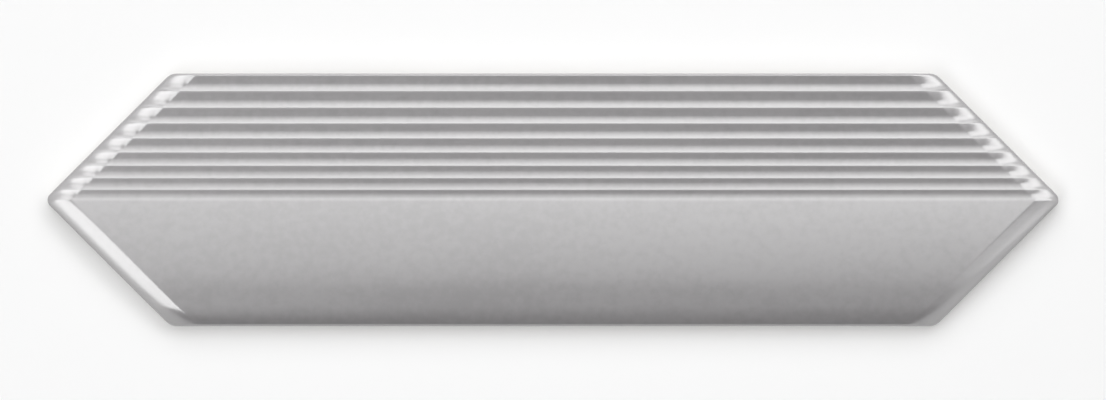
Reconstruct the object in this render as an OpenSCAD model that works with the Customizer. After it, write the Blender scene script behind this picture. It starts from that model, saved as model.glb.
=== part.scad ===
// Relief wall tile in the long hexagon shape, pressed and fired as one piece.
// X runs along the tile, +Y is the fluted half, the glazed face looks up (+Z).
// The bed face lies on z = 0 and the plan is centred on the origin. Sizes in mm.

/* [Outline] */
// length from point to point
tile_l = 300; // [180:1:450]
// width across the two long edges
tile_w = 75; // [60:0.5:110]
// rounding of the four wide corners, seen from above
corner_r = 4.5; // [1:0.1:10]
// rounding of the two points, seen from above
tip_r = 2.4; // [0.5:0.1:6]

/* [Face] */
// height of the crest of the smooth half above the bed face
crest_h = 9.5; // [7:0.1:16]
// radius of the gentle crown of the smooth half
crown_r = 140; // [100:1:400]
// distance of the crest line from the middle of the tile
crest_off = 14; // [8:0.5:20]
// distance of the last arris from the middle of the tile
crown_off = 0.15; // [0:0.05:2]

/* [Flutes] */
// number of steps between the fluted long edge and the smooth half
flute_n = 9; // [6:1:11]
// pitch of the last and narrowest step
pitch_last = 3.2; // [3:0.05:4]
// width of one riser, seen from above
riser_w = 2.2; // [1.2:0.1:2.6]
// fall of each tread away from the fluted long edge, in degrees
tread_tilt = 8.5; // [4:0.5:12]
// rounding of the arris at the top of each riser
arris_r = 0.3; // [0.1:0.05:0.6]

/* [Rim] */
// width of the sloping rim round the ends and along the smooth long edge
rim_w = 4.5; // [2:0.1:8]
// extra slope of the rim where it leaves the face, in degrees
rim_tilt = 14; // [6:0.5:20]
// width of the rounded lip outside the rim
lip_w = 0.9; // [0.4:0.1:1.5]
// radius of the rounded lip on the fluted long edge
edge_r = 0.8; // [0.4:0.1:1.2]

/* [Back] */
// number of keying grooves in the bed face
key_n = 6; // [2:2:6]
// spacing of the keying grooves
key_pitch = 10; // [6:0.5:10]
// width of one groove at the bed face
key_w = 4; // [2:0.1:5]
// depth of one groove
key_d = 0.8; // [0.3:0.1:1.5]
// plain margin between the groove ends and the outline
key_margin = 9; // [4:0.5:25]

/* [Hidden] */
glaze_grey = [0.24, 0.24, 0.242];

half_w = tile_w / 2;
// the slanted edges stand at 45 degrees, so each point is a right angle
slant = cos(45);
// where the slanted edges would meet if the points were sharp
point_x = tile_l / 2 + tip_r * (sqrt(2) - 1);
// how far a cutter reaches past what it cuts
past = 3;

// the crown starts at the last arris, as a distance from the fluted long edge
crown_s = half_w + crown_off;
// the pitches shrink by one fixed step from the fluted long edge to the crown
pitch_first = 2 * crown_s / flute_n - pitch_last;
pitch_step = (pitch_first - pitch_last) / (flute_n - 1);
// arris k and the foot of its riser, as distances from the fluted long edge
function arris_at(k) = k * pitch_first - pitch_step * k * (k - 1) / 2;
function foot_at(k) = arris_at(k) - riser_w;
// depth of foot k below the arrises, and the slope at the top of its riser
function fall(k) = (foot_at(k) - arris_at(k - 1)) * tan(tread_tilt);
function riser_top(k) = 2 * atan(fall(k) / riser_w) + tread_tilt;

// height and slope of the crown at a distance s from the fluted long edge
crest_s = half_w + crest_off;
function crown_z(s) = crest_h - crown_r + sqrt(crown_r * crown_r - (s - crest_s) * (s - crest_s));
function crown_slope(s) = -asin((s - crest_s) / crown_r);
// all arrises lie at the height where the crown begins
land_z = crown_z(crown_s);
function face_z(s) = s < crown_s ? land_z : crown_z(s);

// the rim goes down in flats: one wide slope, then the lip as an arc in equal turns;
// each knee is [distance from the outline, depth below the face]
lip_n = 3;
lip_r = lip_w / (1 - sin(rim_tilt));
rim_fall = tan(rim_tilt) * (rim_w - lip_w);
function lip_turn(i) = rim_tilt + (90 - rim_tilt) * i / lip_n;
knees = concat(
    [[rim_w, 0]],
    [for (i = [0:lip_n])
        [lip_r * (1 - sin(lip_turn(i))), rim_fall + lip_r * (cos(rim_tilt) - cos(lip_turn(i)))]]);
function grade(i) = (knees[i + 1][1] - knees[i][1]) / (knees[i][0] - knees[i + 1][0]);

// n + 1 points on an arc round c, from angle a to angle b
function arc(c, r, a, b, n) =
    [for (i = [0:n]) c + r * [cos(a + (b - a) * i / n), sin(a + (b - a) * i / n)]];

// rounded convex corner at p, between a climbing slope a and the slope b behind it
function eased(p, r, a, b, n) =
    let (t = r * tan((a - b) / 2))
    arc(p - t * [cos(a), sin(a)] + r * [sin(a), -cos(a)], r, 90 + a, 90 + b, n);

// riser k as a hollow arc that starts in line with the tread in front of it
riser_n = 6;
function riser(k) =
    let (chord = atan(fall(k) / riser_w),
         r = norm([riser_w, fall(k)]) / (2 * sin(chord + tread_tilt)),
         c = [foot_at(k), land_z - fall(k)] + r * [sin(tread_tilt), cos(tread_tilt)],
         p = arc(c, r, -90 - tread_tilt, -90 + 2 * chord, riser_n))
    [for (i = [0:riser_n - 1]) p[i]];

// riser k with the rounded arris behind it
function step(k) = concat(
    riser(k),
    eased([arris_at(k), land_z], arris_r, riser_top(k),
        k < flute_n ? -tread_tilt : crown_slope(crown_s), 4));

// the smooth half behind the last arris, then down over the rim to the outer edge
crown_n = 20;
crown_points = [for (i = [1:crown_n])
    let (s = crown_s + (tile_w - rim_w - crown_s) * i / crown_n) [s, crown_z(s)]];
rim_points = [for (i = [1:lip_n + 1])
    [tile_w - knees[i][0], crown_z(tile_w - knees[i][0]) - knees[i][1]]];

// the whole section, as points [distance from the fluted long edge, height]
edge_lip = eased([0, land_z], edge_r, 90, -tread_tilt, 5);
section = concat(
    [[-past, 0], [-past, edge_lip[0][1]]],
    edge_lip,
    [for (k = [1:flute_n]) each step(k)],
    crown_points,
    rim_points,
    [[tile_w + past, rim_points[lip_n][1]], [tile_w + past, 0]]);

// the section drawn out along the tile
module fluted_bar()
    rotate([90, 0, 90])
        linear_extrude(tile_l + 2 * past, center = true)
            polygon([for (p = section) [half_w - p[0], p[1]]]);

// the outline, worked out for one quarter and mirrored twice
wide_y = half_w - corner_r;
wide_x = point_x - wide_y - corner_r / slant;
quarter = concat(
    arc([point_x - tip_r / slant, 0], tip_r, 0, 45, 5),
    arc([wide_x, wide_y], corner_r, 45, 90, 6));
last = len(quarter) - 1;
outline = concat(
    quarter,
    [for (i = [last:-1:0]) [-quarter[i][0], quarter[i][1]]],
    [for (i = [1:last]) [-quarter[i][0], -quarter[i][1]]],
    [for (i = [last:-1:1]) [quarter[i][0], -quarter[i][1]]]);

module plan_block()
    translate([0, 0, -past])
        linear_extrude(crest_h + 2 * past)
            polygon(outline);

// what lies above flat i of the rim, on the slanted edge of the fluted half (up = 1)
// or of the smooth half (up = -1): the face drawn out along a line that leans down
// towards the point, so that it drops by the grade of the flat for each mm outwards
function lean(i) = atan(grade(i) * slant);
function flat_w(s, i, up) = cos(lean(i))
    * (face_z(s) - knees[i][1] + grade(i) * ((point_x - up * (half_w - s)) * slant - knees[i][0]));
flat_s = concat(
    [-past, crown_s],
    [for (i = [1:crown_n]) crown_s + (tile_w + past - crown_s) * i / crown_n]);
// the cutter starts this far in front of the slanted edges, well above the face
run_in = 18;

module above_flat(i, up)
    rotate([0, lean(i), 0])
        translate([(point_x - half_w - run_in) * cos(lean(i)) - crest_h * sin(lean(i)), 0, 0])
            rotate([90, 0, 90])
                linear_extrude(half_w + run_in + crest_h + past)
                    polygon(concat(
                        [for (s = flat_s) [half_w - s, flat_w(s, i, up)]],
                        [[-half_w - past, tile_l], [half_w + past, tile_l]]));

module end_rim()
    for (up = [-1, 1], i = [0:lip_n])
        above_flat(i, up);

// one keying groove in the bed face, a little narrower inside, centred on the line y
module key_groove(y)
    let (reach = point_x - abs(y) - key_w / 2 - key_margin / slant, flank = key_d / 2)
    translate([-reach, y, 0])
        rotate([90, 0, 90])
            linear_extrude(2 * reach)
                polygon([
                    [-key_w / 2 - flank, -key_d],
                    [key_w / 2 + flank, -key_d],
                    [key_w / 2 - flank, key_d],
                    [-key_w / 2 + flank, key_d]]);

module tile()
    color(glaze_grey)
        difference() {
            intersection() {
                plan_block();
                fluted_bar();
            }
            end_rim();
            mirror([1, 0, 0]) end_rim();
            for (i = [0:key_n - 1])
                key_groove((i - (key_n - 1) / 2) * key_pitch);
        }

tile();
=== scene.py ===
"""Dressed model of a relief wall tile, lying on a pale floor under soft studio light.

The tile is one pressed and fired piece. Its glazed face, walls and bed face are one closed
mesh, worked out here as a height over the plan. The tile's lengths are in millimetres until
they go into Blender, which has them in metres. The studio's lengths are in metres.
"""

from __future__ import annotations

import logging
import math
from dataclasses import dataclass, field
from enum import Enum
from functools import cached_property

import bpy
import numpy as np
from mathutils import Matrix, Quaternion, Vector
from numpy.typing import NDArray

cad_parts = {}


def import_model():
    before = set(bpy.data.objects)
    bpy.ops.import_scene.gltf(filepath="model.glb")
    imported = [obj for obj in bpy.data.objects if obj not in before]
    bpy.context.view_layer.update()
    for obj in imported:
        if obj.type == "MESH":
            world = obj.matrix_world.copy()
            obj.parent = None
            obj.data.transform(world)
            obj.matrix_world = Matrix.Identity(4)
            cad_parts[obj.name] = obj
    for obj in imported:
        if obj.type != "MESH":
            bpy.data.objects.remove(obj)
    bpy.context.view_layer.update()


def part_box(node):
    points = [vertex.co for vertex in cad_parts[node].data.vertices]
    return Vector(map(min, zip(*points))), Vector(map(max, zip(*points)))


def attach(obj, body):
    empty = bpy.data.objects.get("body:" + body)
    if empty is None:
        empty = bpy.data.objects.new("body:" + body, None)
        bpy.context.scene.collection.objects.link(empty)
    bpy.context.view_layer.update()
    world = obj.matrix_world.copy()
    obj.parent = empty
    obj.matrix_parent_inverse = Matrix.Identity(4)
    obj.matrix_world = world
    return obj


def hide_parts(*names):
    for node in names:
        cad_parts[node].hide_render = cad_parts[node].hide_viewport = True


log = logging.getLogger("tile")

# metres in a millimetre
MM = 0.001
# sine and cosine of the 45 degrees at which the slanted edges stand
SLANT = math.sqrt(0.5)
# value of the pool attribute where the glaze is neither thin nor pooled
PLAIN = 0.5

Array = NDArray[np.float64]
Indices = NDArray[np.int64]
Triple = tuple[float, float, float]
Socket = bpy.types.NodeSocket


class Surface(Enum):
    """The two surfaces of the fired piece, as material slot numbers."""

    GLAZED = 0
    BARE = 1


def round_steps(radius: float, count: int) -> Array:
    """Distances from an edge at which a quarter round of a radius turns by equal steps."""
    return radius * (1 - np.cos(np.linspace(0.0, math.pi / 2, count + 1)))


def put_in_scene(name: str, data: bpy.types.ID) -> bpy.types.Object:
    """Object at the origin that shows the data and has its name."""
    item = bpy.data.objects.new(name, data)
    bpy.context.scene.collection.objects.link(item)
    return item


@dataclass(frozen=True)
class Outline:
    """Plan of the tile: a long hexagon with right-angled points and rounded corners."""

    length: float
    width: float
    wide_r: float = 4.5
    point_r: float = 2.4

    @property
    def half_w(self) -> float:
        """Half the width across the long edges."""
        return self.width / 2

    @property
    def point_x(self) -> float:
        """Where the slanted edges would meet if the points were sharp."""
        return self.length / 2 + self.point_r * (math.sqrt(2) - 1)

    @property
    def point_centre(self) -> float:
        """X of the centre of the round at a point."""
        return self.point_x - self.point_r / SLANT

    @property
    def wide_centre(self) -> tuple[float, float]:
        """Centre of the round at a wide corner."""
        y = self.half_w - self.wide_r
        return self.point_x - y - self.wide_r / SLANT, y

    def inset(self, by: float) -> Outline:
        """The same plan with every edge moved inwards by a distance."""
        return Outline(
            self.length - 2 * by, self.width - 2 * by, self.wide_r - by, self.point_r - by
        )

    def half_length(self, y: Array) -> Array:
        """Half the length of the tile along each row.

        On a straight slanted edge it is point_x less |y|, and in a round it is the centre
        plus the chord, the root of r squared less the squared distance across.

        Args:
            y: Row positions.

        Returns:
            Half-length at each row.
        """
        across = np.abs(y)
        cx, cy = self.wide_centre
        tip = self.point_centre + np.sqrt(np.maximum(self.point_r**2 - across**2, 0.0))
        wide = cx + np.sqrt(np.maximum(self.wide_r**2 - (across - cy) ** 2, 0.0))
        straight = self.point_x - across
        reach = np.where(across < self.point_r * SLANT, tip, straight)
        return np.where(across > cy + self.wide_r * SLANT, wide, reach)

    def _fan(self, x: Array, y: Array) -> tuple[Array, Array]:
        """Distance inside the round at a point and at a wide corner, infinite outside its fan."""
        ax, ay = np.abs(x), np.abs(y)
        dx = ax - self.point_centre
        point = np.where((dx >= 0) & (ay <= dx), self.point_r - np.hypot(dx, ay), np.inf)
        cx, cy = self.wide_centre
        dx, dy = ax - cx, ay - cy
        wide = np.where((dx >= 0) & (dy >= dx), self.wide_r - np.hypot(dx, dy), np.inf)
        return point, wide

    def depth(self, x: Array, y: Array) -> Array:
        """Distance inside the whole outline: the nearest of the edges and the rounds."""
        point, wide = self._fan(x, y)
        slanted = (self.point_x - np.abs(x) - np.abs(y)) * SLANT
        straight = np.minimum(self.half_w - np.abs(y), slanted)
        return np.maximum(np.minimum(np.minimum(straight, point), wide), 0.0)

    def end_depth(self, x: Array, y: Array) -> Array:
        """Distance inside the slanted edges and the points."""
        point, _ = self._fan(x, y)
        return np.minimum((self.point_x - np.abs(x) - np.abs(y)) * SLANT, point)


@dataclass(frozen=True)
class FaceRelief:
    """Height of the glazed face: graduated flutes on one half, a gentle crown on the other.

    Everything is a function of s, the distance from the fluted long edge. The last five
    fields say how many points follow each tread, riser and arris, which share of a tread
    they span, and how far up its arc the riser's own points go before the arris takes over.
    """

    width: float
    crest_h: float
    crown_r: float = 140.0
    crest_off: float = 14.0
    crown_off: float = 0.15
    flutes: int = 9
    pitch_last: float = 3.2
    riser_w: float = 2.2
    tread_tilt: float = math.radians(8.5)
    hollow: float = 0.2
    arris_r: float = 0.35
    tread_points: int = 5
    riser_points: int = 8
    arris_points: int = 6
    tread_span: tuple[float, float] = (0.2, 0.85)
    riser_span: float = 0.94

    @property
    def crown_s(self) -> float:
        """Where the last arris ends the flutes and the crown begins."""
        return self.width / 2 + self.crown_off

    def crown(self, s: Array | float) -> Array:
        """Height of the crown: a circle of crown_r whose top is at the crest line."""
        off = np.asarray(s) - self.width / 2 - self.crest_off
        return self.crest_h - self.crown_r + np.sqrt(self.crown_r**2 - off**2)

    @property
    def land(self) -> float:
        """Height that all arrises share."""
        return float(self.crown(self.crown_s))

    def arrises(self) -> Array:
        """Distances of the arrises, from 0 at the long edge, each pitch one step shorter."""
        first = 2 * self.crown_s / self.flutes - self.pitch_last
        pitches = np.linspace(first, self.pitch_last, self.flutes)
        return np.concatenate([[0.0], np.cumsum(pitches)])

    @cached_property
    def knots(self) -> tuple[Array, Array]:
        """Points (s, height) of the fluted half.

        Each flute is a tread that falls by tread_tilt, a hollow riser, which is an arc
        tangent to the tread, and a small round over the arris. The tread is a parabola whose
        slope is steeper by the share hollow where it starts and flatter by it at the foot.
        One row of the arrays is one flute, and the columns run along it.

        Returns:
            Distances s in rising order and the heights there.
        """
        edge = self.arrises()
        top = edge[1:, None]
        foot = top - self.riser_w
        grade = math.tan(self.tread_tilt)
        start_tilt = math.atan((1 + self.hollow) * grade)
        foot_tilt = math.atan((1 - self.hollow) * grade)
        fall = (foot - edge[:-1, None]) * grade
        chord = np.arctan(fall / self.riser_w)
        radius = np.hypot(self.riser_w, fall) / (2 * np.sin(chord + foot_tilt))
        before = 2 * chord + foot_tilt
        part = np.linspace(0.0, self.riser_span, self.riser_points)
        turn = part * before - foot_tilt - math.pi / 2
        riser_s = foot + radius * (math.sin(foot_tilt) + np.cos(turn))
        riser_z = self.land - fall + radius * (math.cos(foot_tilt) + np.sin(turn))

        after = np.full_like(before, -start_tilt)
        after[-1] = math.asin(self.crest_off / self.crown_r)
        t = self.arris_r * np.tan((before - after) / 2)
        part = np.linspace(0.0, 1.0, self.arris_points)
        over = math.pi / 2 + before + part * (after - before)
        arris_s = top - t * np.cos(before) + self.arris_r * (np.sin(before) + np.cos(over))
        arris_z = self.land - t * np.sin(before) + self.arris_r * (np.sin(over) - np.cos(before))

        part = np.linspace(*self.tread_span, self.tread_points)
        tread_s = edge[:-1, None] + part * (foot - edge[:-1, None])
        tread_z = self.land - fall * (part + self.hollow * part * (1 - part))
        s = np.concatenate([tread_s, riser_s, arris_s], axis=1).ravel()
        z = np.concatenate([tread_z, riser_z, arris_z], axis=1).ravel()
        return np.concatenate([[0.0], s]), np.concatenate([[self.land], z])

    def height(self, s: Array) -> Array:
        """Height of the face, without its rim."""
        knot_s, knot_z = self.knots
        return np.where(s > knot_s[-1], self.crown(s), np.interp(s, knot_s, knot_z))


@dataclass(frozen=True)
class Rim:
    """How the face ends: a bevel at the slanted edges, a roll at the smooth long edge, a lip.

    Each of them is a drop that is taken off the face, so the flutes run out over the bevel.
    Tilt is the bevel's slope behind its crease, and roll_tilt is what its roll adds at the
    outline. Long_w and long_tilt are the width and the last slope of the roll at the smooth
    long edge.
    """

    width: float = 5.7
    tilt: float = math.radians(7)
    crease: float = 0.3
    roll_tilt: float = math.radians(16.7)
    long_w: float = 6.0
    long_tilt: float = math.radians(23)
    lip_r: float = 0.7

    @staticmethod
    def roll(depth: Array, width: float, tilt: float) -> Array:
        """Drop of a parabola that starts at a width and reaches a tilt at the edge."""
        over = np.maximum(width - depth, 0.0)
        return math.tan(tilt) * over**2 / (2 * width)

    def bevel(self, depth: Array) -> Array:
        """Drop over the slanted edges.

        It is a plane that starts at the width of the rim, its crease a short parabola, and
        the roll that bends it down more and more towards the edge.

        Args:
            depth: Distance inside the slanted edges.

        Returns:
            The drop at each point.
        """
        over = self.width - depth
        bend = np.clip(over + self.crease, 0.0, 2 * self.crease) ** 2 / (4 * self.crease)
        plane = math.tan(self.tilt) * (bend + np.maximum(over - self.crease, 0.0))
        return plane + self.roll(depth, self.width, self.roll_tilt)

    def drop(self, ends: Array, smooth: Array, depth: Array) -> Array:
        """What the rim takes off the height of the face.

        It is the sum of the bevel at the slanted edges, a roll at the smooth long edge, and a
        quarter round at the very end, the lip.

        Args:
            ends: Distance inside the slanted edges.
            smooth: Distance inside the smooth long edge.
            depth: Distance inside the whole outline.

        Returns:
            The drop at each point.
        """
        back = np.maximum(self.lip_r - depth, 0.0)
        lip = self.lip_r - np.sqrt(self.lip_r**2 - back**2)
        return self.bevel(ends) + self.roll(smooth, self.long_w, self.long_tilt) + lip


@dataclass(frozen=True)
class BedKeys:
    """Shallow lengthwise grooves in the bed face, which the adhesive keys into.

    Their ends keep a margin from the outline and slope up over end_run.
    """

    count: int = 6
    pitch: float = 10.0
    width: float = 4.0
    depth: float = 0.8
    margin: float = 9.0
    end_run: float = 0.25

    @property
    def flank(self) -> float:
        """How much a groove's side leans in over its depth."""
        return self.depth / 2

    @property
    def lines(self) -> Array:
        """Middle line of each groove."""
        return (np.arange(self.count) - (self.count - 1) / 2) * self.pitch

    def rows(self) -> Array:
        """Rows at the foot and the top of every groove side."""
        side = np.array([self.width / 2, self.width / 2 - self.flank])
        return (self.lines[:, None] + np.concatenate([-side, side])).ravel()

    def reach(self, y: Array, plan: Outline) -> Array:
        """Half-length of the grooves, constant over a groove and straight in between.

        Args:
            y: Row positions.
            plan: Outline that the margin is kept from.

        Returns:
            X of the groove ends at each row.
        """
        side = self.width / 2
        edges = (self.lines[:, None] + np.array([-side, side])).ravel()
        far = np.repeat(np.abs(self.lines), 2) + side
        edges = np.concatenate([[-plan.half_w], edges, [plan.half_w]])
        far = np.concatenate([[plan.half_w], far, [plan.half_w]])
        return np.interp(y, edges, plan.point_x - self.margin / SLANT - far)

    def sink(self, x: Array, y: Array, reach: Array) -> Array:
        """How deep the bed face lies in a groove: full depth inside, 0 on the lands."""
        off = np.abs(y[..., None] - self.lines).min(axis=-1)
        across = np.clip((self.width / 2 - off) / self.flank, 0.0, 1.0)
        along = np.clip((reach - np.abs(x)) / self.end_run, 0.0, 1.0)
        return self.depth * np.minimum(across, along)


@dataclass(frozen=True)
class GlazeFlow:
    """How the molten glaze leaves edges and gathers in hollows, as a share called pool.

    Pool is 0 where the glaze is thin, PLAIN where it is even and 1 where it is deep. Gain
    sets it per millimetre of hollow, so that the deepest hollow comes out near 1, and
    thinning takes it off over the bevels and over the lip, out to lip_reach of its radius.
    """

    spread: float = 0.7
    step: float = 0.05
    margin: float = 3.0
    gain: float = 4.0
    thinning: float = 0.6
    lip_reach: float = 1.5

    def hollow(self, s: Array, relief: FaceRelief) -> Array:
        """Height of the face averaged with a bell curve, less the height itself.

        The bell's standard deviation is spread. The face is sampled at every step, from a
        margin in front of its fluted edge to a margin behind its smooth one.

        Args:
            s: Distances from the fluted long edge.
            relief: Face that the glaze lies on.

        Returns:
            Depth of the hollow at each point, negative on an arris.
        """
        fine = np.arange(-self.margin, relief.width + self.margin, self.step)
        height = relief.height(np.clip(fine, 0.0, relief.width))
        reach = np.arange(-3 * self.spread, 3 * self.spread + self.step, self.step)
        bell = np.exp(-0.5 * (reach / self.spread) ** 2)
        mean = np.convolve(height, bell / bell.sum(), mode="same")
        return np.interp(s, fine, mean - height)

    def pool(self, hollow: Array, ends: Array, depth: Array, rim: Rim) -> Array:
        """Share of glaze that stays at each point of the face.

        Args:
            hollow: Depth of the hollow.
            ends: Distance inside the slanted edges.
            depth: Distance inside the whole outline.
            rim: Rim that the glaze runs over.

        Returns:
            The share, from 0 to 1.
        """
        bevel = np.clip(1.0 - ends / rim.width, 0.0, 1.0)
        lip = np.clip(1.0 - depth / (self.lip_reach * rim.lip_r), 0.0, 1.0)
        share = PLAIN + self.gain * hollow - self.thinning * np.maximum(bevel, lip)
        return np.clip(share, 0.0, 1.0)


class NodeTree:
    """Small helper that adds and joins nodes in one tree."""

    def __init__(self, tree: bpy.types.NodeTree) -> None:
        """Work on a tree that is new."""
        self.tree = tree

    def add(self, kind: str, **settings: object) -> bpy.types.Node:
        """Add a node and set its properties.

        Args:
            kind: Blender's node type name.
            **settings: Properties of the node.

        Returns:
            The new node.
        """
        node = self.tree.nodes.new(kind)
        for name, value in settings.items():
            setattr(node, name, value)
        return node

    def join(self, source: Socket, target: Socket) -> None:
        """Link an output to an input."""
        self.tree.links.new(source, target)

    def calculate(
        self, operation: str, a: Socket | float, b: Socket | float, c: float | None = None
    ) -> Socket:
        """Math node on sockets or plain numbers.

        Args:
            operation: Name of the Math operation.
            a: First operand.
            b: Second operand.
            c: Third operand, for the operations that take one.

        Returns:
            The result's socket.
        """
        node = self.add("ShaderNodeMath", operation=operation)
        for socket, value in zip(node.inputs, (a, b, c)):
            if isinstance(value, Socket):
                self.join(value, socket)
            elif value is not None:
                socket.default_value = value
        return node.outputs[0]

    def blend(self, mask: Socket, a: Socket | Triple, b: Socket | Triple) -> Socket:
        """Colour that goes from a to b with a mask."""
        node = self.add("ShaderNodeMix", data_type="RGBA")
        self.join(mask, node.inputs["Factor"])
        for socket, value in zip((node.inputs[6], node.inputs[7]), (a, b)):
            if isinstance(value, Socket):
                self.join(value, socket)
            else:
                socket.default_value = (*value, 1.0)
        return node.outputs[2]

    def ramp(self, value: Socket, start: float, end: float, top: float = 1.0) -> Socket:
        """Smooth step from 0, where the value is start, to top, where it is end."""
        node = self.add("ShaderNodeMapRange", interpolation_type="SMOOTHSTEP")
        self.join(value, node.inputs["Value"])
        node.inputs["From Min"].default_value = start
        node.inputs["From Max"].default_value = end
        node.inputs["To Min"].default_value = 0.0
        node.inputs["To Max"].default_value = top
        return node.outputs["Result"]

    def bump(self, height: Socket, distance: float) -> Socket:
        """Normal of a surface that a height of 1 raises by a distance in millimetres."""
        node = self.add("ShaderNodeBump")
        node.inputs["Distance"].default_value = distance * MM
        self.join(height, node.inputs["Height"])
        return node.outputs["Normal"]

    def background_mask(self) -> Socket:
        """1 for camera, mirror and see-through rays, and 0 for a ray that only lights."""
        path = self.add("ShaderNodeLightPath").outputs
        seen = self.calculate("MAXIMUM", path["Is Camera Ray"], path["Is Glossy Ray"])
        return self.calculate("MAXIMUM", seen, path["Is Transmission Ray"])


def new_material(name: str) -> tuple[bpy.types.Material, NodeTree, bpy.types.Node]:
    """Material of a name, the helper on its nodes, and its Principled BSDF node."""
    material = bpy.data.materials.new(name)
    material.use_nodes = True
    shader = material.node_tree.nodes["Principled BSDF"]
    return material, NodeTree(material.node_tree), shader


def fired_grain_group() -> bpy.types.NodeTree:
    """Shader group for the fine unevenness that pressing, glazing and firing leave.

    Cloud is a slow drift that is drawn out along the tile, Mottle is a speckle of a few
    millimetres and Grain is the finest one. All three lie around 0.5.

    Returns:
        The node group, with the scales as named inputs.
    """
    layers = ("Cloud", "Mottle", "Grain")
    stretch = (0.3, 1.0, 1.0)
    detail = 3.0
    group = bpy.data.node_groups.new("fired_grain", "ShaderNodeTree")
    face = group.interface
    face.new_socket("Vector", in_out="INPUT", socket_type="NodeSocketVector")
    for name in layers:
        face.new_socket(f"{name} Scale", in_out="INPUT", socket_type="NodeSocketFloat")
        face.new_socket(name, in_out="OUTPUT", socket_type="NodeSocketFloat")
    desk = NodeTree(group)
    source = desk.add("NodeGroupInput")
    result = desk.add("NodeGroupOutput")
    drawn = desk.add("ShaderNodeVectorMath", operation="MULTIPLY")
    desk.join(source.outputs["Vector"], drawn.inputs[0])
    drawn.inputs[1].default_value = stretch
    for name in layers:
        noise = desk.add("ShaderNodeTexNoise")
        noise.inputs["Detail"].default_value = detail
        place = drawn.outputs["Vector"] if name == "Cloud" else source.outputs["Vector"]
        desk.join(place, noise.inputs["Vector"])
        desk.join(source.outputs[f"{name} Scale"], noise.inputs["Scale"])
        desk.join(noise.outputs["Fac"], result.inputs[name])
    return group


@dataclass(frozen=True)
class Grained:
    """Base of the finishes that use the fired grain, with the scales of its layers."""

    cloud_scale: float = 60.0
    mottle_scale: float = 400.0
    grain_scale: float = 1500.0

    def grain(self, desk: NodeTree, group: bpy.types.NodeTree) -> bpy.types.Node:
        """Place the fired grain on Object coordinates with this finish's scales."""
        place = desk.add("ShaderNodeTexCoord")
        node = desk.add("ShaderNodeGroup", node_tree=group)
        desk.join(place.outputs["Object"], node.inputs["Vector"])
        node.inputs["Cloud Scale"].default_value = self.cloud_scale
        node.inputs["Mottle Scale"].default_value = self.mottle_scale
        node.inputs["Grain Scale"].default_value = self.grain_scale
        return node


@dataclass(frozen=True)
class BareBody(Grained):
    """Unglazed pressed body: pale, dry and finely grained.

    Drift is the pair of cloud values between which the colour goes over to the dust's.
    """

    colour: Triple = (0.62, 0.58, 0.52)
    dust: Triple = (0.50, 0.46, 0.40)
    drift: tuple[float, float] = (0.35, 0.7)
    roughness: float = 0.82
    bump: float = 0.06
    grain_scale: float = 2600.0

    def tint(self, desk: NodeTree, grain: bpy.types.Node) -> Socket:
        """Colour that drifts between the body and its dust with the cloud."""
        return desk.blend(desk.ramp(grain.outputs["Cloud"], *self.drift), self.colour, self.dust)

    def material(self, group: bpy.types.NodeTree) -> bpy.types.Material:
        """Build the material.

        Args:
            group: The fired grain group.

        Returns:
            The finished material.
        """
        material, desk, shader = new_material("bare_body")
        grain = self.grain(desk, group)
        desk.join(self.tint(desk, grain), shader.inputs["Base Color"])
        shader.inputs["Roughness"].default_value = self.roughness
        desk.join(desk.bump(grain.outputs["Grain"], self.bump), shader.inputs["Normal"])
        return material


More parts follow.
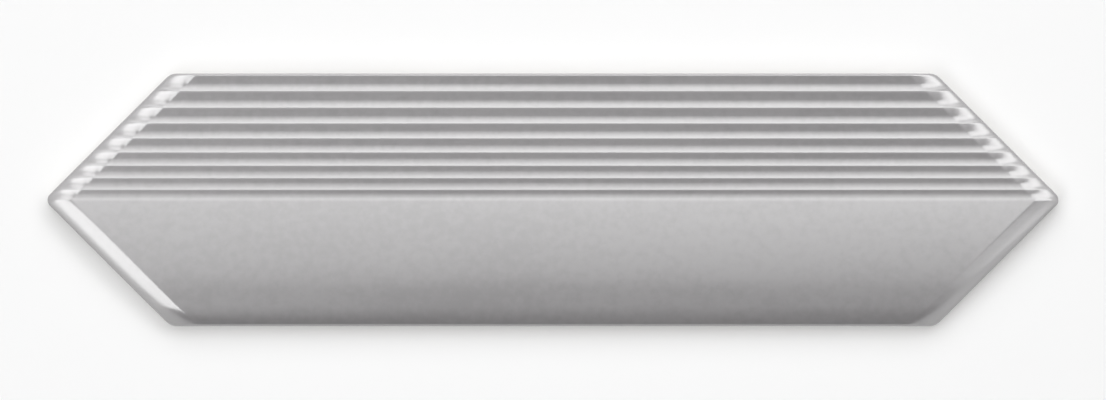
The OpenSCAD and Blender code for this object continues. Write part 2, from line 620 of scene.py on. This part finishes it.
@dataclass(frozen=True)
class GreyGlaze(Grained):
    """Neutral grey glaze, which runs over the lip and stops unevenly on the walls.

    Specks is the pair of grain values between which the speckle sets in. Line is the height
    at which the glaze ends where the cloud is 0, ragged is how much higher it ends where the
    cloud is 1, and fade is half the width of its edge.
    """

    colour: Triple = (0.213, 0.206, 0.210)
    thin: Triple = (0.292, 0.284, 0.288)
    pooled: Triple = (0.192, 0.186, 0.189)
    speckle: float = 0.2
    specks: tuple[float, float] = (0.7, 1.3)
    roughness: float = 0.35
    coat_roughness: float = 0.15
    coat_ior: float = 1.9
    specular: float = 1.0
    bump: float = 0.02
    line: float = 3.4
    ragged: float = 2.2
    fade: float = 0.2

    def tint(self, desk: NodeTree, grain: bpy.types.Node) -> Socket:
        """Colour that is lighter where the glaze is thin and darker where it is pooled."""
        pool = desk.add("ShaderNodeAttribute", attribute_name="pool").outputs["Fac"]
        tint = desk.blend(desk.ramp(pool, PLAIN, 1.0), self.colour, self.pooled)
        tint = desk.blend(desk.ramp(pool, PLAIN, 0.0), tint, self.thin)
        spots = desk.calculate("ADD", grain.outputs["Cloud"], grain.outputs["Mottle"])
        return desk.blend(desk.ramp(spots, *self.specks, 2 * self.speckle), tint, self.thin)

    def cover(self, desk: NodeTree, grain: bpy.types.Node) -> Socket:
        """Mask that is 1 above the ragged end of the glaze and 0 below it."""
        place = desk.add("ShaderNodeTexCoord")
        axes = desk.add("ShaderNodeSeparateXYZ")
        desk.join(place.outputs["Object"], axes.inputs["Vector"])
        cloud = grain.outputs["Cloud"]
        edge = desk.calculate("MULTIPLY_ADD", cloud, self.ragged * MM, self.line * MM)
        over = desk.calculate("SUBTRACT", axes.outputs["Z"], edge)
        return desk.ramp(over, -self.fade * MM, self.fade * MM)

    def material(self, group: bpy.types.NodeTree, body: BareBody) -> bpy.types.Material:
        """Build the material, with the bare body below the end of the glaze.

        Args:
            group: The fired grain group.
            body: Finish of the body under the glaze.

        Returns:
            The finished material.
        """
        material, desk, shader = new_material("grey_glaze")
        grain = self.grain(desk, group)
        cover = self.cover(desk, grain)
        tint = desk.blend(cover, body.tint(desk, grain), self.tint(desk, grain))
        desk.join(tint, shader.inputs["Base Color"])
        gain = self.roughness - body.roughness
        rough = desk.calculate("MULTIPLY_ADD", cover, gain, body.roughness)
        desk.join(rough, shader.inputs["Roughness"])
        shader.inputs["Specular IOR Level"].default_value = self.specular
        desk.join(cover, shader.inputs["Coat Weight"])
        shader.inputs["Coat IOR"].default_value = self.coat_ior
        shader.inputs["Coat Roughness"].default_value = self.coat_roughness
        desk.join(desk.bump(grain.outputs["Mottle"], self.bump), shader.inputs["Normal"])
        return material


@dataclass(frozen=True)
class Fineness:
    """How closely the mesh follows the shape.

    Crown, slope and tip rows lie on the crown, on the roll of the smooth long edge and
    within tip_reach of the points. One of them is left out where it would lie closer than
    apart to a row that the shape needs, and of needed rows closer than merge one stays.
    Columns count from the outline inwards: over the lip, over the bevel, at its crease (in
    shares of the crease), just inside it (in millimetres), and over the middle. In the bed
    face bed_end_columns lie between the end of a groove and the outline. A wall has
    wall_steps down to the round at its foot, which has foot_steps, and an edge that turns by
    more than sharp_angle isn't shaded smooth.
    """

    crown_rows: int = 28
    crown_gap: float = 0.6
    slope_rows: int = 11
    tip_rows: int = 14
    tip_reach: float = 1.9
    apart: float = 0.12
    merge: float = 0.02
    lip_steps: int = 8
    bevel_columns: int = 14
    crease_columns: tuple[float, ...] = (-0.5, 0.0, 0.5, 1.0)
    inner_columns: tuple[float, ...] = (0.8, 1.6, 3.0)
    middle_columns: int = 56
    bed_end_columns: int = 10
    wall_steps: int = 6
    foot_steps: int = 4
    sharp_angle: float = math.radians(40)


@dataclass
class FiredTile:
    """The tile itself: grid over the glazed face, walls, and grid over the bed face."""

    plan: Outline
    relief: FaceRelief
    rim: Rim = field(default_factory=Rim)
    keys: BedKeys = field(default_factory=BedKeys)
    flow: GlazeFlow = field(default_factory=GlazeFlow)
    fine: Fineness = field(default_factory=Fineness)
    foot_r: float = 0.5

    def rows(self) -> Array:
        """Row positions of both grids, from the smooth long edge to the fluted one.

        They hold every knot of the flutes, the crown, the rounds at the points and both long
        edges, and the sides of the grooves in the bed face.

        Returns:
            The y of each row.
        """
        half, width, fine = self.plan.half_w, self.plan.width, self.fine
        lip = round_steps(self.rim.lip_r, fine.lip_steps)
        crown_end = width - self.rim.long_w
        crown = np.linspace(self.relief.crown_s, crown_end - fine.crown_gap, fine.crown_rows)
        slope = np.linspace(crown_end, width - self.rim.lip_r, fine.slope_rows)
        tip = half + np.linspace(-fine.tip_reach, fine.tip_reach, fine.tip_rows)
        shrink = half / (half - self.foot_r)
        keys = half - self.keys.rows() * shrink
        needed = np.concatenate([self.relief.knots[0], keys, lip, width - lip])
        free = np.concatenate([crown, slope, tip])
        clear = np.abs(free[:, None] - needed).min(axis=1) > fine.apart
        s = np.sort(np.concatenate([needed, free[clear]]))
        keep = np.concatenate([[True], np.diff(s) > fine.merge])
        return (half - s[keep])[::-1]

    def end_offsets(self) -> Array:
        """Distances along X from the end of a row to its columns over the rim."""
        rim, fine = self.rim, self.fine
        lip = round_steps(rim.lip_r, fine.lip_steps)
        bevel = np.linspace(rim.lip_r, rim.width - rim.crease, fine.bevel_columns)[1:]
        crease = rim.width + rim.crease * np.array(fine.crease_columns)
        inner = rim.width + np.array(fine.inner_columns)
        return np.concatenate([lip, bevel, crease, inner]) / SLANT

    def face_grid(self, y: Array) -> Array:
        """Points of the glazed face.

        Every row runs from one end of the outline to the other. Its end columns keep a fixed
        distance from the outline, so that the rim is fine and even, and the rest are spread
        over the middle.

        Args:
            y: Row positions.

        Returns:
            Array of rows by columns by 3.
        """
        ends = self.plan.half_length(y)[:, None]
        right = ends - self.end_offsets()[::-1]
        inner = right[:, :1]
        spread = np.linspace(-1.0, 1.0, self.fine.middle_columns + 2)[1:-1]
        x = np.concatenate([-right[:, ::-1], inner * spread, right], axis=1)
        rows = np.broadcast_to(y[:, None], x.shape)
        s = self.plan.half_w - rows
        drop = self.rim.drop(
            self.plan.end_depth(x, rows), self.plan.width - s, self.plan.depth(x, rows)
        )
        return np.stack([x, rows, self.relief.height(s) - drop], axis=-1)

    def bed_grid(self, y: Array, columns: int) -> Array:
        """Points of the bed face, on a plan drawn in by the round at its foot.

        Two columns at each end stand at the ends of the grooves, so that these are crisp.

        Args:
            y: Row positions of the glazed face.
            columns: Number of columns of the glazed face.

        Returns:
            Array of rows by columns by 3.
        """
        plan = self.plan.inset(self.foot_r)
        rows = y * plan.half_w / self.plan.half_w
        ends = plan.half_length(rows)[:, None]
        reach = self.keys.reach(rows, self.plan)[:, None]
        outside = self.fine.bed_end_columns
        right = reach + (ends - reach) * np.linspace(0.0, 1.0, outside)
        wall = reach - self.keys.end_run
        inside = columns - 2 * outside - 2
        spread = np.linspace(-1.0, 1.0, inside + 2)[1:-1]
        x = np.concatenate([-right[:, ::-1], -wall, wall * spread, wall, right], axis=1)
        across = np.broadcast_to(rows[:, None], x.shape)
        return np.stack([x, across, self.keys.sink(x, across, reach)], axis=-1)

    def walls(self, upper: Array, lower: Array) -> Array:
        """Loops of points between the edge of the face and the edge of the bed face.

        The wall goes straight down to its ankle, and a quarter round turns it under.

        Args:
            upper: Outer points of the face.
            lower: Outer points of the bed face.

        Returns:
            Array of loops by points by 3, without the two given loops.
        """
        ankle = upper.copy()
        ankle[:, 2] = self.foot_r
        down = np.linspace(0.0, 1.0, self.fine.wall_steps + 1)[1:, None, None]
        turn = np.linspace(0.0, math.pi / 2, self.fine.foot_steps + 1)[1:-1, None, None]
        inwards = 1 - np.cos(turn)
        share = np.concatenate([inwards, inwards, np.sin(turn)], axis=-1)
        return np.concatenate([upper + down * (ankle - upper), ankle + share * (lower - ankle)])

    @staticmethod
    def rim_loop(rows: int, columns: int) -> Indices:
        """Indices of a grid's outer points, in order round it, anticlockwise from above."""
        index = np.arange(rows * columns).reshape(rows, columns)
        return np.concatenate(
            [index[0, :-1], index[:-1, -1], index[-1, :0:-1], index[:0:-1, 0]]
        )

    @staticmethod
    def grid_quads(rows: int, columns: int) -> Indices:
        """Quads of a grid, anticlockwise from above."""
        index = np.arange(rows * columns).reshape(rows, columns)
        corners = [index[:-1, :-1], index[:-1, 1:], index[1:, 1:], index[1:, :-1]]
        return np.stack(corners, axis=-1).reshape(-1, 4)

    @staticmethod
    def band_quads(rings: Indices) -> Indices:
        """Quads from each ring of points to the next one below it, facing outwards."""
        ahead = np.roll(rings, -1, axis=1)
        corners = [rings[:-1], rings[1:], ahead[1:], ahead[:-1]]
        return np.stack(corners, axis=-1).reshape(-1, 4)

    def pool(self, x: Array, y: Array) -> Array:
        """Share of glaze at points of the face."""
        hollow = self.flow.hollow(self.plan.half_w - y, self.relief)
        return self.flow.pool(hollow, self.plan.end_depth(x, y), self.plan.depth(x, y), self.rim)

    def build(self, finishes: dict[Surface, bpy.types.Material]) -> bpy.types.Object:
        """Make the closed mesh and dress it.

        The points are those of the face, then the bed face, then the walls.

        Args:
            finishes: Material for each surface.

        Returns:
            The tile's object.
        """
        y = self.rows()
        face = self.face_grid(y)
        rows, columns = face.shape[:2]
        bed = self.bed_grid(y, columns).reshape(-1, 3)
        face = face.reshape(-1, 3)
        loop = self.rim_loop(rows, columns)
        walls = self.walls(face[loop], bed[loop])
        points = np.concatenate([face, bed, walls.reshape(-1, 3)])

        first_wall = len(face) + len(bed)
        rings = np.arange(first_wall, len(points)).reshape(-1, len(loop))
        rings = np.concatenate([loop[None], rings, loop[None] + len(face)])
        face_quads = self.grid_quads(rows, columns)
        wall_quads = self.band_quads(rings)
        bed_quads = face_quads[:, ::-1] + len(face)

        mesh = bpy.data.meshes.new("glazed_tile")
        mesh.from_pydata(points * MM, [], np.concatenate([face_quads, wall_quads, bed_quads]))
        for surface in Surface:
            mesh.materials.append(finishes[surface])
        counts = [len(face_quads) + len(wall_quads), len(bed_quads)]
        slots = np.repeat([Surface.GLAZED.value, Surface.BARE.value], counts)
        mesh.polygons.foreach_set("material_index", slots.astype(np.int32))

        share = np.full(len(points), PLAIN)
        share[: len(face)] = self.pool(face[:, 0], face[:, 1])
        attribute = mesh.attributes.new("pool", "FLOAT", "POINT")
        attribute.data.foreach_set("value", share.astype(np.float32))
        mesh.shade_smooth()
        mesh.set_sharp_from_angle(angle=self.fine.sharp_angle)
        mesh.update()
        return put_in_scene("glazed_tile", mesh)


@dataclass(frozen=True)
class Softbox:
    """Rectangular soft lamp, given by the radiance that is seen straight in front of it.

    It looks straight down unless it has an aim. Spread is the full angle of its grid, and
    turn is how far it is turned about the line it looks along.
    """

    name: str
    place: Triple
    size: tuple[float, float]
    radiance: float
    aim: Triple | None = None
    spread: float = math.pi
    turn: float = 0.0

    @property
    def power(self) -> float:
        """Radiance times pi times the area, less what the spread gathers to the front."""
        half = self.spread / 2
        gathered = 1.0 if self.spread >= math.pi else math.tan(half) / (math.tan(half) - half)
        return self.radiance * math.pi * self.size[0] * self.size[1] / gathered

    def hang(self) -> None:
        """Put the lamp in the scene, out of the camera's sight."""
        lamp = bpy.data.lights.new(self.name, "AREA")
        lamp.shape = "RECTANGLE"
        lamp.size, lamp.size_y = self.size
        lamp.spread = self.spread
        lamp.energy = self.power
        box = put_in_scene(self.name, lamp)
        box.location = self.place
        sight = Vector((0.0, 0.0, -1.0))
        if self.aim is not None:
            sight = Vector(self.aim) - Vector(self.place)
        turned = Quaternion((0.0, 0.0, 1.0), self.turn)
        box.rotation_euler = (sight.to_track_quat("-Z", "Y") @ turned).to_euler()
        box.visible_camera = False


@dataclass(frozen=True)
class MattPanel:
    """Plain matt sheet: the floor under the tile or the ceiling over the lamps."""

    name: str
    half_x: float
    half_y: float
    height: float
    grey: float
    glow: float = 0.0
    roughness: float = 0.9
    seen: bool = True

    def lay(self) -> bpy.types.Object:
        """Make the panel; its glow whitens it only where it is seen as the background.

        Returns:
            The panel's object.
        """
        x, y, z = self.half_x, self.half_y, self.height
        mesh = bpy.data.meshes.new(self.name)
        mesh.from_pydata([(-x, -y, z), (x, -y, z), (x, y, z), (-x, y, z)], [], [(0, 1, 2, 3)])
        material, desk, shader = new_material(self.name)
        shader.inputs["Base Color"].default_value = (self.grey, self.grey, self.grey, 1.0)
        shader.inputs["Roughness"].default_value = self.roughness
        shader.inputs["Specular IOR Level"].default_value = 0.0
        shader.inputs["Emission Color"].default_value = (1.0, 1.0, 1.0, 1.0)
        strength = desk.calculate("MULTIPLY", desk.background_mask(), self.glow)
        desk.join(strength, shader.inputs["Emission Strength"])
        mesh.materials.append(material)
        panel = put_in_scene(self.name, mesh)
        panel.visible_camera = self.seen
        return panel


@dataclass(frozen=True)
class Studio:
    """Soft studio light and the camera that looks straight down on the tile.

    The camera hangs at a distance over the tile's face, and the tile's length takes up the
    share fill of the picture's width. Ambient is the world's strength where it lights.
    """

    distance: float = 3.0
    sensor: float = 36.0
    fill: float = 0.915
    far: float = 20.0
    ambient: float = 0.055
    panels: tuple[MattPanel, ...] = (
        MattPanel("floor", half_x=3.0, half_y=3.0, height=0.0, grey=0.65, glow=0.235),
        MattPanel("ceiling", half_x=1.7, half_y=8.0, height=3.2, grey=0.05, seen=False),
    )
    boxes: tuple[Softbox, ...] = (
        Softbox(
            "top_box", (0.0, 0.575, 1.686), (0.80, 2.46), 3.35,
            aim=(0.0, -0.013, 0.877), spread=math.radians(104),
        ),
        Softbox("left_box", (-0.81, -0.78, 2.0), (0.86, 1.52), 4.55),
        Softbox("left_glint", (-0.98, 0.24, 2.0), (0.56, 0.52), 5.0),
        Softbox("left_wing", (-0.76, 1.00, 1.7), (0.44, 0.96), 4.3),
        Softbox("left_back", (-0.62, 1.59, 1.19), (0.65, 0.72), 2.4, aim=(-0.13, 0.02, 0.0)),
        Softbox("right_box", (0.80, 0.79, 1.6), (0.73, 1.26), 4.1),
        Softbox("right_back", (0.62, 1.59, 1.19), (0.65, 0.72), 2.3, aim=(0.13, 0.02, 0.0)),
        Softbox("right_fill", (0.74, -0.53, 1.6), (0.88, 0.47), 1.6, turn=math.radians(-45)),
    )

    def world(self) -> None:
        """Give the background a strength of 1 where it is seen and a soft one where it lights."""
        world = bpy.data.worlds.new("studio")
        bpy.context.scene.world = world
        world.use_nodes = True
        desk = NodeTree(world.node_tree)
        shader = world.node_tree.nodes["Background"]
        shader.inputs["Color"].default_value = (1.0, 1.0, 1.0, 1.0)
        mask = desk.background_mask()
        strength = desk.calculate("MULTIPLY_ADD", mask, 1.0 - self.ambient, self.ambient)
        desk.join(strength, shader.inputs["Strength"])

    def camera(self, length: float, height: float) -> None:
        """Hang the camera over the tile, with the fluted half at the top of the picture.

        Args:
            length: Length of the tile.
            height: Height of the tile's face.
        """
        lens = bpy.data.cameras.new("camera")
        lens.sensor_width = self.sensor
        lens.lens = self.sensor * self.distance * self.fill / length
        lens.clip_end = self.far
        camera = put_in_scene("camera", lens)
        camera.location = (0.0, 0.0, height + self.distance)
        bpy.context.scene.camera = camera


def main() -> None:
    """Load the frame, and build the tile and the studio."""
    logging.basicConfig(level=logging.INFO, format="%(name)s: %(message)s")
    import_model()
    low, high = (np.array(corner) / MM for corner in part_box("tile"))
    length, width, crest = (float(v) for v in high - low)

    scene = bpy.context.scene
    scene.view_settings.view_transform = "Standard"
    grain = fired_grain_group()
    body = BareBody()
    finishes = {
        Surface.GLAZED: GreyGlaze().material(grain, body),
        Surface.BARE: body.material(grain),
    }
    tile = FiredTile(Outline(length, width), FaceRelief(width, crest)).build(finishes)
    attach(tile, "root")
    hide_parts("tile")
    log.info("glazed_tile: %d points, %d faces", len(tile.data.vertices), len(tile.data.polygons))

    studio = Studio()
    for panel in studio.panels:
        sheet = panel.lay()
        log.info("%s laid", panel.name)
    studio.world()
    studio.camera(length * MM, crest * MM)
    for box in studio.boxes:
        box.hang()
        log.info("%s hung", box.name)


if __name__ == "__main__":
    main()
